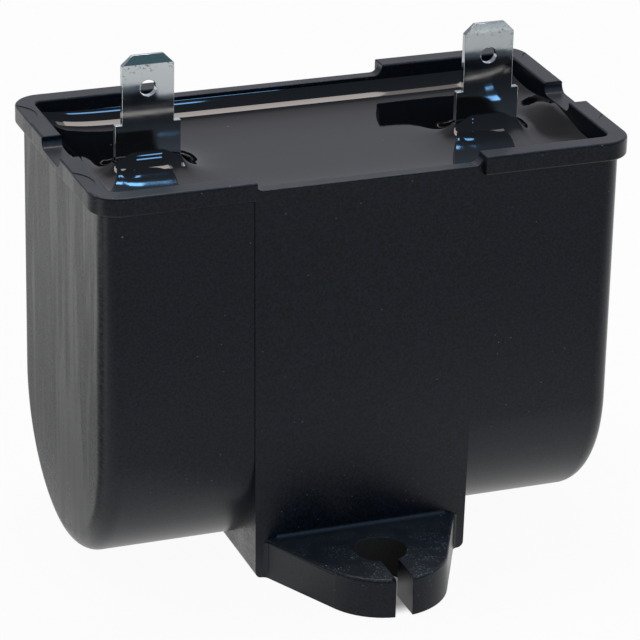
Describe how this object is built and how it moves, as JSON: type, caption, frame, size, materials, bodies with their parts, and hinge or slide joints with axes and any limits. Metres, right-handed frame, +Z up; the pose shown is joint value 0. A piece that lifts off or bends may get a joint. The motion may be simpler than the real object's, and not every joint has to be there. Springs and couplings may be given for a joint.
{
  "type": "film capacitor",
  "caption": "Potted film capacitor in a round-bottomed black plastic case with slotted mounting ears and flat push-on tabs standing in glossy resin, for mounting on a panel.",
  "frame": {"origin": "on the mounting plane under the middle of the case", "axes": "+Z up out of the open side with the tabs, +X along the film roll towards the right-hand tab, -Y towards the front ear in the picture"},
  "size_m": [0.0666, 0.0634, 0.0613],
  "materials": {
    "case_plastic": "fine matte moulded",
    "resin": "self-levelled gloss",
    "tin_plate": "bright tin plate",
    "tinned_wire": "tinned and soldered",
    "zinc_spray": "rough sprayed metal",
    "film": "wound metallised film",
    "core_plastic": "extruded tube"
  },
  "bodies": {
    "root": {"case": "case_plastic", "potting_resin": "resin", "terminal_left": "tin_plate", "terminal_right": "tin_plate", "lead_left": "tinned_wire", "lead_right": "tinned_wire", "end_spray_left": "zinc_spray", "end_spray_right": "zinc_spray", "film_winding": "film", "winding_core": "core_plastic"}
  },
  "joints": []
}
